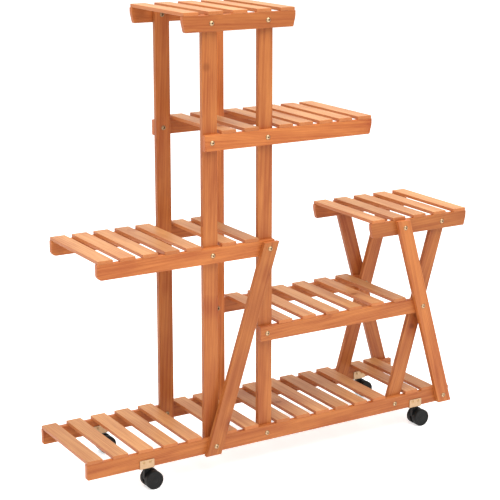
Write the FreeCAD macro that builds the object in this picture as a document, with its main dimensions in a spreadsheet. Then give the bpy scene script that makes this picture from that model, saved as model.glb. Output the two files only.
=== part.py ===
"""Flower cart stand: a stepped plant stand of stained fir battens on four small casters.

A two-bay post tower carries a shelf to the left, a shelf to the right and one on top.  A stool on
crossed legs stands on the right end of the base and shares a low shelf with the tower.

Frame: millimetres, X along the stand, Y from the front (-) to the back (+), Z up.  The origin lies
on the floor, midway along and midway across the stand.  A "station" is a distance along X from the
left end of the base rails.
"""
import FreeCAD, Part
from collections import namedtuple
import os
import re

import Sketcher

SIZES = (
    # boards
    ("board_width", 35.0, "face width of every slat, post, leg and brace"),
    ("board_thickness", 11.0, "thickness of rails, posts, legs and brace"),
    ("rail_height", 34.0, "height of every rail"),
    ("slat_thickness", 7.5, "thickness of the slats"),
    ("stand_depth", 240.0, "length of the slats, over the outer faces of the rails"),
    ("edge_radius", 0.8, "rounding along the edges of the boards"),
    ("wing_end_radius", 12.0, "rounding of the lower corners at the middle rails' free ends"),
    ("panel_end_radius", 2.5, "rounding of the lower corners of the sloping rail ends"),
    ("end_slope_rise", 22.0, "lower part of a sloping rail end"),
    ("end_slope_run", 5.2, "how far that part slopes inwards"),
    ("end_knee_radius", 30.0, "rounding where it starts to slope"),
    ("base_end_radius", 4.0, "rounding of the lower corners of the base rails"),
    # lengths and stations
    ("base_length", 945.0, "length of the base rails"),
    ("tower_start", 284.5, "station of the left edge of the left posts"),
    ("post_spacing", 135.5, "distance between the left and right posts, centre to centre"),
    ("wing_length", 422.0, "length of the middle and upper shelves"),
    ("crown_length", 270.0, "length of the top shelf"),
    ("stool_length", 270.0, "length of the stool's top"),
    ("stool_shift", 8.5, "how far the stool's top lies left of the point where its legs cross"),
    ("crossing_margin", 16.0, "how far the lower shelf's rails run past the crossing bolt"),
    ("leg_foot_run", 67.0, "distance along X from the crossing bolt to a leg's foot bolt"),
    ("brace_drop", 3.0, "how far the brace's ends lie below the edges of its two rails"),
    # heights above the floor
    ("base_clearance", 50.0, "underside of the base rails"),
    ("lower_top", 322.0, "top of the lower shelf"),
    ("middle_top", 515.5, "top of the middle shelf"),
    ("stool_top", 515.5, "top of the stool"),
    ("upper_top", 757.0, "top of the upper shelf"),
    ("crown_top", 1005.0, "top of the top shelf"),
    # slats: how many, and how far each row keeps from what it ends at
    ("base_left_count", 5, "base slats left of the tower"),
    ("tower_count", 2, "slats between the posts, at every level that has them"),
    ("base_middle_count", 6, "base slats between the tower and the stool's legs"),
    ("base_end_count", 2, "base slats between the stool's legs"),
    ("lower_count", 6, "slats of the lower shelf"),
    ("wing_count", 5, "slats of the outer part of the middle and upper shelves"),
    ("crown_count", 5, "slats of the top shelf"),
    ("stool_count", 5, "slats of the stool"),
    ("base_inset", 1.0, "end of the base rails to the first slat"),
    ("wing_inset", 1.5, "free end of a middle or upper rail to its first slat"),
    ("panel_inset", 2.0, "ends of the top shelf and stool rails to their outer slats"),
    ("base_post_gap", 12.5, "last slat left of the tower to the post"),
    ("wing_post_gap", 10.5, "last slat of a wing to the post"),
    ("tower_gap", 5.0, "posts to the slats between them"),
    ("middle_post_gap", 7.0, "right post to the next base slat"),
    ("lower_post_gap", 12.0, "right post to the first slat of the lower shelf"),
    ("middle_leg_gap", 15.5, "last middle base slat to the inner leg"),
    ("end_leg_gap", 6.0, "inner leg to the next base slat"),
    ("base_end_gap", 44.5, "last base slat to the right end of the base rails"),
    ("lower_leg_gap", 42.0, "last slat of the lower shelf to the crossing bolt"),
    # fasteners
    ("bolt_radius", 3.0, "shank of the frame bolts"),
    ("bolt_clearance", 0.25, "bolt hole over the bolt's shank, on the radius"),
    ("bolt_head_radius", 5.5, "round head of the frame bolts"),
    ("bolt_head_height", 2.8, "height of that head"),
    ("bolt_head_rim", 0.28, "straight edge below that head's dome"),
    ("bolt_setback", 3.0, "bolt's tip below the outer face of its nut"),
    ("nut_clearance", 0.05, "nut's bore over the bolt's shank, on the radius"),
    ("flange_radius", 5.3, "flange of the sleeve nuts"),
    ("flange_thickness", 1.0, "thickness of that flange"),
    ("sleeve_radius", 4.0, "sleeve of the nuts, inside the innermost board"),
    ("sleeve_length", 8.5, "length of that sleeve under the flange"),
    ("sleeve_clearance", 0.15, "nut's hole over its sleeve, on the radius"),
    ("brad_radius", 0.8, "radius of the headless nails that hold the slats"),
    ("brad_cover", 2.35, "wood left between a nail's tip and the widest hole under it"),
    ("brad_spacing", 17.0, "distance between the two nails at a slat's end"),
    # casters
    ("caster_left", 138.0, "left end of the base to the left casters' swivel"),
    ("caster_right", 98.5, "right end of the base to the right casters' swivel"),
    ("caster_inset", 8.0, "swivel behind the face that its bracket is screwed to"),
    ("caster_trail", 15.0, "wheel axle to the right of the swivel"),
    ("bracket_width", 34.0, "bracket along the rail"),
    ("bracket_rise", 18.0, "bracket's upright plate above the rail's underside"),
    ("bracket_flange", 22.0, "bracket's flange, from front to back"),
    ("bracket_thickness", 2.0, "sheet of the bracket"),
    ("bracket_corner", 1.5, "rounding of the bracket's corners"),
    ("bracket_bend", 1.6, "outer radius of the bracket's bend"),
    ("screw_spacing", 15.0, "distance between a bracket's two screws"),
    ("screw_rise", 12.8, "bracket's screws above the rail's underside"),
    ("screw_radius", 1.5, "shank of the bracket's screws"),
    ("screw_length", 10.0, "length of a bracket's screw under its head"),
    ("screw_head_radius", 2.8, "head of a bracket's screw"),
    ("screw_head_height", 1.4, "height of that head"),
    ("screw_head_rim", 0.56, "straight edge below that head's rounding"),
    ("wheel_radius", 20.0, "radius of a caster's wheel"),
    ("wheel_width", 12.5, "width of one wheel"),
    ("wheel_gap", 0.3, "wheel to housing, and housing to the stem's collar"),
    ("wheel_rim", 3.0, "thickness of the wheel's rim"),
    ("wheel_dish", 0.8, "how deep the wheel's outer face lies inside its rim"),
    ("wheel_lip", 2.4, "width of the raised ring round a wheel's outer face"),
    ("wheel_web", 3.95, "thickness of the disc that closes a wheel"),
    ("wheel_hub_radius", 5.0, "hub of a wheel"),
    ("wheel_edge", 1.6, "rounding of the tread's shoulders"),
    ("housing_width", 8.4, "caster housing between the two wheels"),
    ("housing_radius", 16.5, "round part of the housing, about the axle"),
    ("tower_radius", 4.2, "housing's upright about the stem, and its rounding"),
    ("axle_radius", 2.5, "wheel axle"),
    ("axle_bite", 9.0, "how far the axle reaches into each wheel"),
    ("stem_radius", 2.5, "swivel stem"),
    ("stem_depth", 17.0, "how far the stem reaches into the housing"),
    ("recess_reach", 1.8, "half length of the cross in a screw's head"),
    ("recess_width", 0.8, "width of that cross"),
    ("recess_depth", 0.8, "depth of that cross"),
    ("collar_radius", 5.0, "collar of the stem, under the bracket"),
    ("collar_thickness", 1.5, "thickness of that collar"),
    ("running_fit", 0.06, "radial play of the axle in a wheel and of the stem in the housing"),
)

# values worked out from the sizes
PLACES = (
    ("outer_face", "stand_depth / 2", "middle of the stand to the outer face of a rail"),
    ("inner_face", "stand_depth / 2 - board_thickness", "to the inner face of a rail"),
    ("post_inner_face", "stand_depth / 2 - 2 * board_thickness", "to the inner face of a post"),
    ("base_top", "base_clearance + rail_height + slat_thickness", "top of the base slats"),
    ("post_left", "tower_start + board_width / 2", "station of the left posts' middle"),
    ("post_right", "post_left + post_spacing", "station of the right posts' middle"),
    ("tower_end", "post_right + board_width / 2", "station of the right posts' right edge"),
    ("crossing_height", "lower_top - slat_thickness - rail_height / 2",
     "height of the bolt where the stool's legs cross"),
    ("foot_height", "base_clearance + rail_height / 2", "height of the bolts in the base rails"),
    ("leg_slope", "leg_foot_run / (crossing_height - foot_height)", "lean of the legs, along / up"),
    ("leg_half", "board_width / 2 * sqrt(1 + leg_slope ^ 2)", "half of a leg, measured along X"),
    ("crossing", "base_length - leg_foot_run - leg_half - leg_slope * rail_height / 2",
     "station of the crossing bolt, so that the outer legs end flush with the base rails"),
    ("leg_head_run", "leg_slope * (stool_top - lower_top)",
     "distance along X from the crossing bolt to a leg's top bolt"),
    ("inner_foot", "crossing - leg_foot_run + leg_slope * (rail_height + slat_thickness) / 2",
     "station of the inner legs where the base slats pass them"),
    ("stool_start", "crossing - stool_shift - stool_length / 2", "left end of the stool's rails"),
    ("stool_end", "stool_start + stool_length", "right end of the stool's rails"),
    ("crown_start", "(post_left + post_right - crown_length) / 2", "left end of the top rails"),
    ("middle_start", "tower_end - wing_length", "left end of the middle rails"),
    ("upper_end", "tower_start + wing_length", "right end of the upper rails"),
    ("stand_middle", "stool_end / 2", "station of the origin"),
    ("brad_length",
     "slat_thickness + rail_height / 2 - sleeve_radius - sleeve_clearance - brad_cover",
     "length of a nail, which ends above the bolts and nuts of its rail"),
    ("collar_foot", "bracket_thickness + collar_thickness",
     "underside of the rail to the underside of the stem's collar"),
)

document = FreeCAD.newDocument("flower_cart_stand")
size_sheet = document.addObject("Spreadsheet::Sheet", "sizes")
for row, (alias, amount, meaning) in enumerate(SIZES, start=1):
    size_sheet.set(f"A{row}", meaning)
    size_sheet.set(f"B{row}", str(amount))
    size_sheet.setAlias(f"B{row}", alias)
OWNERS = {alias: "sizes" for alias, amount, meaning in SIZES}
OWNERS.update({alias: "places" for alias, formula, meaning in PLACES})


# ---- expressions ---------------------------------------------------------------------------------
def bound(text):
    """The expression with each alias in it pointing at its cell."""
    return re.sub(r"[a-z_]+", lambda word: (
        f"{OWNERS[word[0]]}.{word[0]}" if word[0] in OWNERS else word[0]), text)


place_sheet = document.addObject("Spreadsheet::Sheet", "places")
for row, (alias, formula, meaning) in enumerate(PLACES, start=1):
    place_sheet.set(f"A{row}", meaning)
    place_sheet.set(f"B{row}", "=" + bound(formula).replace("places.", ""))
    place_sheet.setAlias(f"B{row}", alias)
document.recompute()


def value(text):
    """What the expression comes to, as a plain number."""
    return float(place_sheet.evalExpression(bound(text)))


def rail_foot(top):
    """Underside of the rails of a shelf whose slats' tops lie at this height."""
    return f"({top} - slat_thickness - rail_height)"


def rail_middle(top):
    """Height of the bolts in the rails of a shelf."""
    return f"({top} - slat_thickness - rail_height / 2)"


# shelf and station of the two bolts that also hold the diagonal brace
BRACE_ENDS = (("base", "post_left"), ("middle_shelf", "post_right"))
CASTER_STATIONS = {"left": "caster_left", "right": "(base_length - caster_right)"}
# the face, looking to the front, that a caster's bracket is screwed to
CASTER_FACES = {"front": "(-1 * outer_face)", "back": "inner_face"}
SIDES = {"front": -1, "back": 1}
CLOSE = 0.01  # two places nearer than this are one


def along(station):
    """X of a station."""
    return f"({station} - stand_middle)"


# ---- building blocks -----------------------------------------------------------------------------
def origin_plane(body, role):
    """One of a body's own origin planes."""
    return next(item for item in body.Origin.OriginFeatures if item.Role == role)


def new_body(label, places=("0", "0", "0"), turn=0):
    """An empty body, turned about Z and placed by three bound expressions."""
    body = document.addObject("PartDesign::Body", label)
    body.Label = label
    body.Placement = FreeCAD.Placement(
        FreeCAD.Vector(), FreeCAD.Rotation(FreeCAD.Vector(0, 0, 1), turn))
    for axis, place in zip("xyz", places):
        body.setExpression(f"Placement.Base.{axis}", bound(place))
    return body


def new_sketch(body, name, role="XZ_Plane", lift=None):
    """A sketch on one of the body's origin planes, lifted off it along the plane's normal."""
    sketch = body.newObject("Sketcher::SketchObject", f"{body.Name}_{name}")
    sketch.AttachmentSupport = [(origin_plane(body, role), "")]
    sketch.MapMode = "FlatFace"
    if lift:
        sketch.setExpression("AttachmentOffset.Base.z", bound(lift))
    return sketch


def hold(sketch, kind, *terms):
    """Add a dimension whose last term is an expression."""
    index = sketch.addConstraint(Sketcher.Constraint(kind, *terms[:-1], value(terms[-1])))
    sketch.setExpression(f"Constraints[{index}]", bound(terms[-1]))


def fix_point(sketch, geometry, position, across, up):
    """Hold a point at two distances from the sketch's origin."""
    hold(sketch, "DistanceX", -1, 1, geometry, position, across)
    hold(sketch, "DistanceY", -1, 1, geometry, position, up)


def add_outline(sketch, corners):
    """A closed run of straight lines through corners given as pairs of expressions."""
    points = [FreeCAD.Vector(value(across), value(up), 0) for across, up in corners]
    lines = [sketch.addGeometry(Part.LineSegment(start, end), False)
             for start, end in zip(points, points[1:] + points[:1])]
    for line, following in zip(lines, lines[1:] + lines[:1]):
        sketch.addConstraint(Sketcher.Constraint("Coincident", line, 2, following, 1))
    for line, (across, up) in zip(lines, corners):
        fix_point(sketch, line, 1, across, up)


def add_circles(sketch, centres, radius):
    """Circles of one radius at centres given as pairs of expressions."""
    for across, up in centres:
        middle = FreeCAD.Vector(value(across), value(up), 0)
        circle = Part.Circle(middle, FreeCAD.Vector(0, 0, 1), value(radius))
        geometry = sketch.addGeometry(circle, False)
        fix_point(sketch, geometry, 3, across, up)
        hold(sketch, "Radius", geometry, radius)


def extrude(body, sketch, length, kind="Pad", reverse=False, midplane=False):
    """Pad or pocket a sketch by a bound length."""
    feature = body.newObject(f"PartDesign::{kind}", f"{sketch.Name}_{kind.lower()}")
    feature.Profile = sketch
    feature.setExpression("Length", bound(length))
    feature.Reversed = reverse
    feature.Midplane = midplane
    document.recompute()


def cut_through(body, sketch):
    """Cut a sketch right through the body, both ways."""
    feature = body.newObject("PartDesign::Pocket", f"{sketch.Name}_cut")
    feature.Profile = sketch
    feature.Type = "ThroughAll"
    feature.Midplane = True
    document.recompute()


def revolve(body, corners, plane="XZ_Plane"):
    """A solid of revolution about its sketch's upright axis."""
    sketch = new_sketch(body, "profile", plane)
    add_outline(sketch, corners)
    feature = body.newObject("PartDesign::Revolution", f"{body.Name}_revolution")
    feature.Profile = sketch
    feature.ReferenceAxis = (sketch, ["V_Axis"])
    feature.Angle = 360
    document.recompute()


def round_edges(body, name, radius, chosen):
    """Fillet the edges of the body's last feature that the test chooses."""
    base = body.Tip
    edges = [f"Edge{index}" for index, edge in enumerate(base.Shape.Edges, start=1) if chosen(edge)]
    fillet = body.newObject("PartDesign::Fillet", f"{body.Name}_{name}")
    fillet.Base = (base, edges)
    fillet.setExpression("Radius", bound(radius))
    document.recompute()


def spans(edge, axis):
    """Whether an edge runs straight along one axis."""
    box = edge.BoundBox
    lengths = {"x": box.XLength, "y": box.YLength, "z": box.ZLength}
    return all((size > CLOSE) == (name == axis) for name, size in lengths.items())


def on_board_face(edge):
    """Whether an edge belongs to the outline of a board's front or back, not to a hole."""
    return edge.BoundBox.YLength < CLOSE and not edge.isClosed()


# ---- boards --------------------------------------------------------------------------------------
def new_board(label, corners, places, bolt_holes=(), nut_holes=()):
    """A board with its outline in X and Z and its thickness along +Y, drilled for bolts or nuts."""
    body = new_body(label, places)
    sketch = new_sketch(body, "outline")
    add_outline(sketch, corners)
    add_circles(sketch, bolt_holes, "bolt_radius + bolt_clearance")
    add_circles(sketch, nut_holes, "sleeve_radius + sleeve_clearance")
    extrude(body, sketch, "board_thickness", reverse=True)
    return body


def rail_end(across, inwards, shape):
    """Lower corners of a rail's outline at one end, from the upper to the lower."""
    if shape != SLOPING:
        return [(across, "0")]
    return [(across, "end_slope_rise"), (f"{across} + {inwards} * end_slope_run", "0")]


def new_rail(label, shelf, side):
    """A rail of a shelf, nailed to its slats and shaped at its free ends."""
    length = f"({shelf.end} - {shelf.start})"
    face = "-1 * outer_face" if side < 0 else "inner_face"
    left = rail_end("0", 1, shelf.start_shape)
    right = rail_end(length, -1, shelf.end_shape)
    corners = (left + right[::-1] + [(length, "rail_height"), ("0", "rail_height")])
    middles = [(bolt, (f"{bolt} - {shelf.start}", "rail_height / 2")) for bolt in shelf.bolts]
    body = new_board(label, corners, (along(shelf.start), face, rail_foot(shelf.top)),
                     [middle for bolt, middle in middles if bolt not in RAIL_INMOST],
                     [middle for bolt, middle in middles if bolt in RAIL_INMOST])

    brads = new_sketch(body, "brad_holes", "XY_Plane", "rail_height")
    centres = [(f"{station} - {shelf.start}", "board_thickness / 2")
               for station in brad_stations(slats_of(shelf))]
    add_circles(brads, centres, "brad_radius")
    extrude(body, brads, "brad_length - slat_thickness", "Pocket")

    ends = (("start", shelf.start_shape, left), ("end", shelf.end_shape, right))
    for name, shape, points in ends:
        radii = SLOPING_RADII if shape == SLOPING else (shape,)
        for number, (radius, (across, up)) in enumerate(zip(radii, points)):
            if radius:
                round_edges(body, f"{name}_corner_{number}", radius,
                            lambda edge, x=value(across), z=value(up): (
                                spans(edge, "y") and abs(edge.BoundBox.XMin - x) < CLOSE
                                and abs(edge.BoundBox.ZMin - z) < CLOSE))
    round_edges(body, "edges", "edge_radius", on_board_face)
    return body


def slat_row(start, end, count):
    """Left edges of slats spread evenly from one station to another, as expressions."""
    step = f"({end} - {start} - board_width) / ({count} - 1)"
    return [f"({start} + {index} * {step})" for index in range(int(value(count)))]


def brad_stations(slats):
    """Stations of the two nails at each end of every slat."""
    return [f"({left} + board_width / 2 + {side} * brad_spacing / 2)"
            for left in slats for side in (-1, 1)]


def slanted_board(label, slope, low, high, holes, places, kind="bolt_holes"):
    """A leaning board, level at both ends, whose middle line passes through its own origin."""
    half = f"(board_width / 2 * sqrt(1 + {slope} ^ 2))"
    corners = ((f"{slope} * {low} - {half}", low), (f"{slope} * {low} + {half}", low),
               (f"{slope} * {high} + {half}", high), (f"{slope} * {high} - {half}", high))
    centres = [(f"{slope} * {height}", height) for height in holes]
    body = new_board(label, corners, places, **{kind: centres})
    round_edges(body, "edges", "edge_radius", on_board_face)
    return body


def new_post(label, station, side):
    """An upright of the tower, bolted inside the rails of every shelf that reaches it."""
    low, height = "base_clearance", "(crown_top - slat_thickness - base_clearance)"
    face = "-1 * inner_face" if side < 0 else "post_inner_face"
    half = "board_width / 2"
    corners = ((f"-1 * {half}", "0"), (half, "0"), (half, height), (f"-1 * {half}", height))
    holes = [("0", f"{rail_middle(shelf.top)} - {low}")
             for shelf in SHELVES.values() if station in shelf.bolts]
    body = new_board(label, corners, (along(station), face, low), nut_holes=holes)
    round_edges(body, "edges", "edge_radius", on_board_face)
    return body


def place_copies(label, master, placements):
    """One node of separate copies of a master piece, each placed by its station."""
    node = document.addObject("Part::Feature", label)
    node.Label = label
    node.Shape = Part.makeCompound(
        [master.Shape.transformed(placement.toMatrix(), True) for placement in placements])
    node.setExpression("Placement.Base.x", bound(along("0")))
    return node


def upright(station, across, height):
    """Placement of an unturned copy."""
    return FreeCAD.Placement(
        FreeCAD.Vector(value(station), across, value(height)), FreeCAD.Rotation())


def facing(station, across, height, side):
    """Placement of a copy whose own Z points inwards from the front (-1) or the back (1)."""
    return FreeCAD.Placement(
        FreeCAD.Vector(value(station), across, value(height)),
        FreeCAD.Rotation(FreeCAD.Vector(1, 0, 0), 90 * side))


# ---- slats ---------------------------------------------------------------------------------------
SLAT_ROWS = {
    "base_left": slat_row("base_inset", "(tower_start - base_post_gap)", "base_left_count"),
    "tower": slat_row("(tower_start + board_width + tower_gap)",
                      "(tower_end - board_width - tower_gap)", "tower_count"),
    "base_middle": slat_row("(tower_end + middle_post_gap)",
                            "(inner_foot - leg_half - middle_leg_gap)", "base_middle_count"),
    "base_end": slat_row("(inner_foot + leg_half + end_leg_gap)",
                         "(base_length - base_end_gap)", "base_end_count"),
    "lower": slat_row("(tower_end + lower_post_gap)", "(crossing - lower_leg_gap)",
                      "lower_count"),
    "middle": slat_row("(middle_start + wing_inset)", "(tower_start - wing_post_gap)",
                       "wing_count"),
    "upper": slat_row("(tower_end + wing_post_gap)", "(upper_end - wing_inset)", "wing_count"),
    "crown": slat_row("(crown_start + panel_inset)",
                      "(crown_start + crown_length - panel_inset)", "crown_count"),
    "stool": slat_row("(stool_start + panel_inset)", "(stool_end - panel_inset)",
                      "stool_count"),
}

POSTS = ("post_left", "post_right")
FOOT_BOLTS = ("(crossing - leg_foot_run)", "(crossing + leg_foot_run)")
HEAD_BOLTS = ("(crossing - leg_head_run)", "(crossing + leg_head_run)")
# bolts that pass an outer leg and then a rail, which holds their nut
RAIL_INMOST = (FOOT_BOLTS[1], HEAD_BOLTS[0])

# top of the slats, stations of the rails' ends and bolts, rows of slats, shapes of the rails' ends:
# None is square, a size is the rounding of the lower corner
SLOPING = "sloping"
SLOPING_RADII = ("end_knee_radius", "panel_end_radius")
Shelf = namedtuple("Shelf", "top start end bolts rows start_shape end_shape")
SHELVES = {
    "base": Shelf("base_top", "0", "base_length", POSTS + FOOT_BOLTS,
                  ("base_left", "tower", "base_middle", "base_end"),
                  "base_end_radius", "base_end_radius"),
    "lower_shelf": Shelf("lower_top", "(tower_end - board_width)",
                         "(crossing + crossing_margin)", ("post_right", "crossing"),
                         ("lower",), None, None),
    "middle_shelf": Shelf("middle_top", "middle_start", "tower_end", POSTS,
                          ("middle", "tower"), "wing_end_radius", None),
    "upper_shelf": Shelf("upper_top", "tower_start", "upper_end", POSTS,
                         ("tower", "upper"), None, SLOPING),
    "top_shelf": Shelf("crown_top", "crown_start", "(crown_start + crown_length)", POSTS,
                       ("crown",), SLOPING, SLOPING),
    "stool": Shelf("stool_top", "stool_start", "stool_end", HEAD_BOLTS,
                   ("stool",), SLOPING, SLOPING),
}


def slats_of(shelf):
    """Left edges of all slats of one shelf."""
    return [left for row in shelf.rows for left in SLAT_ROWS[row]]


def build_slat():
    """One slat with its two nail holes at each end; its left edge is on its own origin."""
    body = new_body("slat")
    sketch = new_sketch(body, "outline", "XY_Plane")
    half = "stand_depth / 2"
    add_outline(sketch, (("0", f"-1 * {half}"), ("board_width", f"-1 * {half}"),
                         ("board_width", half), ("0", half)))
    centres = [(f"board_width / 2 + {across} * brad_spacing / 2",
                f"{up} * ({half} - board_thickness / 2)")
               for across in (-1, 1) for up in (-1, 1)]
    add_circles(sketch, centres, "brad_radius")
    extrude(body, sketch, "slat_thickness")
    round_edges(body, "edges", "edge_radius",
                lambda edge: edge.BoundBox.ZLength < CLOSE and not edge.isClosed())
    return body


def build_brad():
    """A headless nail; its top is on its own origin."""
    body = new_body("brad")
    revolve(body, (("0", "-1 * brad_length"), ("brad_radius", "-1 * brad_length"),
                   ("brad_radius", "0"), ("0", "0")))
    return body


# ---- frame bolts ---------------------------------------------------------------------------------
def build_bolt(label, boards):
    """A round-headed bolt along +Z; the underside of its head is on its own origin."""
    body = new_body(label)
    length = f"{boards} * board_thickness + flange_thickness - bolt_setback"
    revolve(body, (("0", "-1 * bolt_head_height"), ("bolt_head_radius", "-1 * bolt_head_height"),
                   ("bolt_head_radius", "0"), ("bolt_radius", "0"), ("bolt_radius", length),
                   ("0", length)))
    top = -value("bolt_head_height")
    round_edges(body, "dome", "bolt_head_height - bolt_head_rim",
                lambda edge: edge.isClosed() and abs(edge.BoundBox.ZMax - top) < CLOSE)
    return body


def build_nut():
    """A flanged sleeve nut; the underside of its flange is on its own origin."""
    body = new_body("nut")
    bore = "bolt_radius + nut_clearance"
    revolve(body, ((bore, "-1 * sleeve_length"), ("sleeve_radius", "-1 * sleeve_length"),
                   ("sleeve_radius", "0"), ("flange_radius", "0"),
                   ("flange_radius", "flange_thickness"), (bore, "flange_thickness")))
    return body


# station, height, side, boards outside the rail, boards in all
Bolt = namedtuple("Bolt", "station height side outside boards")


def bolt_list():
    """Every frame bolt of the stand."""
    bolts = []
    for name, shelf in SHELVES.items():
        for station in shelf.bolts:
            at_outer_leg = station in RAIL_INMOST + ("crossing",)
            for side in SIDES.values():
                at_brace = side < 0 and (name, station) in BRACE_ENDS
                bolts.append(Bolt(station, rail_middle(shelf.top), side,
                                  1 if at_outer_leg or at_brace else 0,
                                  3 if at_brace or station == "crossing" else 2))
    return bolts


def on_bolt(bolt, depth="0"):
    """Placement of a piece on a bolt's line, at a depth from the underside of its head."""
    face = value("outer_face") + bolt.outside * value("board_thickness") - value(depth)
    return facing(bolt.station, bolt.side * face, bolt.height, bolt.side)


def build_fasteners():
    """Frame bolts of two lengths, each with a sleeve nut set in its innermost board."""
    bolts = bolt_list()
    nodes = []
    for label, boards in (("short_frame_bolts", 2), ("long_frame_bolts", 3)):
        nodes.append(place_copies(label, build_bolt(f"bolt_for_{boards}_boards", boards), [
            on_bolt(bolt) for bolt in bolts if bolt.boards == boards]))
    nodes.append(place_copies("frame_nuts", build_nut(), [
        on_bolt(bolt, f"{bolt.boards} * board_thickness") for bolt in bolts]))
    return nodes


# ---- sub-assemblies ------------------------------------------------------------------------------
def build_rails():
    """A front and a back rail for every shelf; the base rails also take the caster brackets."""
    nodes = [new_rail(f"{name}_rail_{face}", shelf, side)
             for name, shelf in SHELVES.items() for face, side in SIDES.items()]
    for rail in nodes:
        if rail.Label.startswith("base"):
            pilots = new_sketch(rail, "pilot_holes")
            add_circles(pilots, [(f"{station} + {across} * screw_spacing / 2", "screw_rise")
                                 for station in CASTER_STATIONS.values()
                                 for across in (-1, 1)], "screw_radius")
            extrude(rail, pilots, "screw_length - bracket_thickness", "Pocket")
    return nodes


def build_slats():
    """The slats of every shelf, and the nails that hold them all."""
    slat = build_slat()
    nodes = []
    brads = []
    inset = value("outer_face - board_thickness / 2")
    for name, shelf in SHELVES.items():
        slats = slats_of(shelf)
        nodes.append(place_copies(f"{name}_slats", slat, [
            upright(left, 0, f"{shelf.top} - slat_thickness") for left in slats]))
        brads += [upright(station, side * inset, shelf.top)
                  for station in brad_stations(slats) for side in SIDES.values()]
    nodes.append(place_copies("slat_brads", build_brad(), brads))
    return nodes


def build_posts():
    """Four posts; the lower shelf is bolted to the right ones only."""
    return [new_post(f"post_{face}_{hand}", station, side)
            for face, side in SIDES.items()
            for hand, station in (("left", "post_left"), ("right", "post_right"))]


def build_legs():
    """The stool's crossed legs: one outside and one inside the rails, front and back."""
    low = "(base_clearance - crossing_height)"
    high = "(stool_top - slat_thickness - crossing_height)"
    holes = [f"({rail_middle(top)} - crossing_height)"
             for top in ("base_top", "lower_top", "stool_top")]
    faces = {"front_outer": "-1 * outer_face - board_thickness",
             "front_inner": "-1 * inner_face",
             "back_inner": "post_inner_face",
             "back_outer": "outer_face"}
    return [slanted_board(f"stool_leg_{name}",
                          f"({-1 if name.endswith('outer') else 1} * leg_slope)", low, high,
                          holes, (along("crossing"), face, "crossing_height"),
                          "bolt_holes" if name.endswith("outer") else "nut_holes")
            for name, face in faces.items()]


def build_brace():
    """The one diagonal brace, outside the front rails, on two of their bolts."""
    rise = f"({rail_middle('middle_top')} - foot_height)"
    return slanted_board("diagonal_brace", f"(post_spacing / {rise})",
                         "(-1 * rail_height / 2 - brace_drop)",
                         f"({rise} + rail_height / 2 - brace_drop)", ("0", rise),
                         (along("post_left"), "-1 * outer_face - board_thickness",
                          "foot_height"))


# ---- casters -------------------------------------------------------------------------------------
def build_bracket(label, places):
    """An L of sheet steel: a plate on the rail's face and a flange under the rail."""
    body = new_body(label, places)
    profile = new_sketch(body, "profile", "YZ_Plane")
    sheet_front, flange_end = "-1 * bracket_thickness", "bracket_flange - bracket_thickness"
    add_outline(profile, ((sheet_front, sheet_front), (flange_end, sheet_front),
                          (flange_end, "0"), ("0", "0"), ("0", "bracket_rise"),
                          (sheet_front, "bracket_rise")))
    extrude(body, profile, "bracket_width", midplane=True)

    screws = new_sketch(body, "screw_holes")
    add_circles(screws, [(f"{across} * screw_spacing / 2", "screw_rise")
                         for across in (-1, 1)], "screw_radius")
    cut_through(body, screws)
    swivel = new_sketch(body, "stem_hole", "XY_Plane")
    add_circles(swivel, (("0", "caster_inset"),), "stem_radius")
    cut_through(body, swivel)

    thickness = value("bracket_thickness")
    round_edges(body, "bend", "bracket_bend", lambda edge: (
        spans(edge, "x") and edge.BoundBox.YMax < -thickness + CLOSE
        and edge.BoundBox.ZMax < -thickness + CLOSE))
    rise, reach = value("bracket_rise"), value(flange_end)
    round_edges(body, "corners", "bracket_corner", lambda edge: (
        (spans(edge, "y") and edge.BoundBox.ZMin > rise - CLOSE)
        or (spans(edge, "z") and edge.BoundBox.YMin > reach - CLOSE)))
    return body


def build_stem(label, places):
    """The steel stem: riveted flush in the flange, with a collar below it."""
    body = new_body(label, places)
    foot = "-1 * (collar_foot + wheel_gap + stem_depth)"
    revolve(body, (("0", foot), ("stem_radius", foot), ("stem_radius", "-1 * collar_foot"),
                   ("collar_radius", "-1 * collar_foot"),
                   ("collar_radius", "-1 * bracket_thickness"),
                   ("stem_radius", "-1 * bracket_thickness"), ("stem_radius", "0"), ("0", "0")))
    return body


def build_housing(label, places):
    """The moulded body between the wheels: round about the axle, upright about the stem."""
    body = new_body(label, places)
    top = "(base_clearance - collar_foot - wheel_gap - wheel_radius)"
    disc = new_sketch(body, "disc")
    add_circles(disc, (("caster_trail", "0"),), "housing_radius")
    extrude(body, disc, "housing_width", midplane=True)
    neck = new_sketch(body, "neck")
    waist = "tower_radius / 2"
    add_outline(neck, (("-1 * tower_radius", waist), ("caster_trail", waist),
                       ("caster_trail", "housing_radius"), ("tower_radius", top),
                       ("-1 * tower_radius", top)))
    extrude(body, neck, "housing_width", midplane=True)

    socket = new_sketch(body, "socket", "XY_Plane", top)
    add_circles(socket, (("0", "0"),), "stem_radius + running_fit")
    extrude(body, socket, "stem_depth + wheel_gap", "Pocket")
    bearing = new_sketch(body, "bearing")
    add_circles(bearing, (("caster_trail", "0"),), "axle_radius")
    cut_through(body, bearing)
    return body


def build_axle(label, places):
    """The plain steel axle, held by the housing and ending inside both wheels."""
    body = new_body(label, places)
    half = "(housing_width / 2 + wheel_gap + axle_bite)"
    revolve(body, (("0", f"-1 * {half}"), ("axle_radius", f"-1 * {half}"),
                   ("axle_radius", half), ("0", half)), "XY_Plane")
    return body


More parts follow.
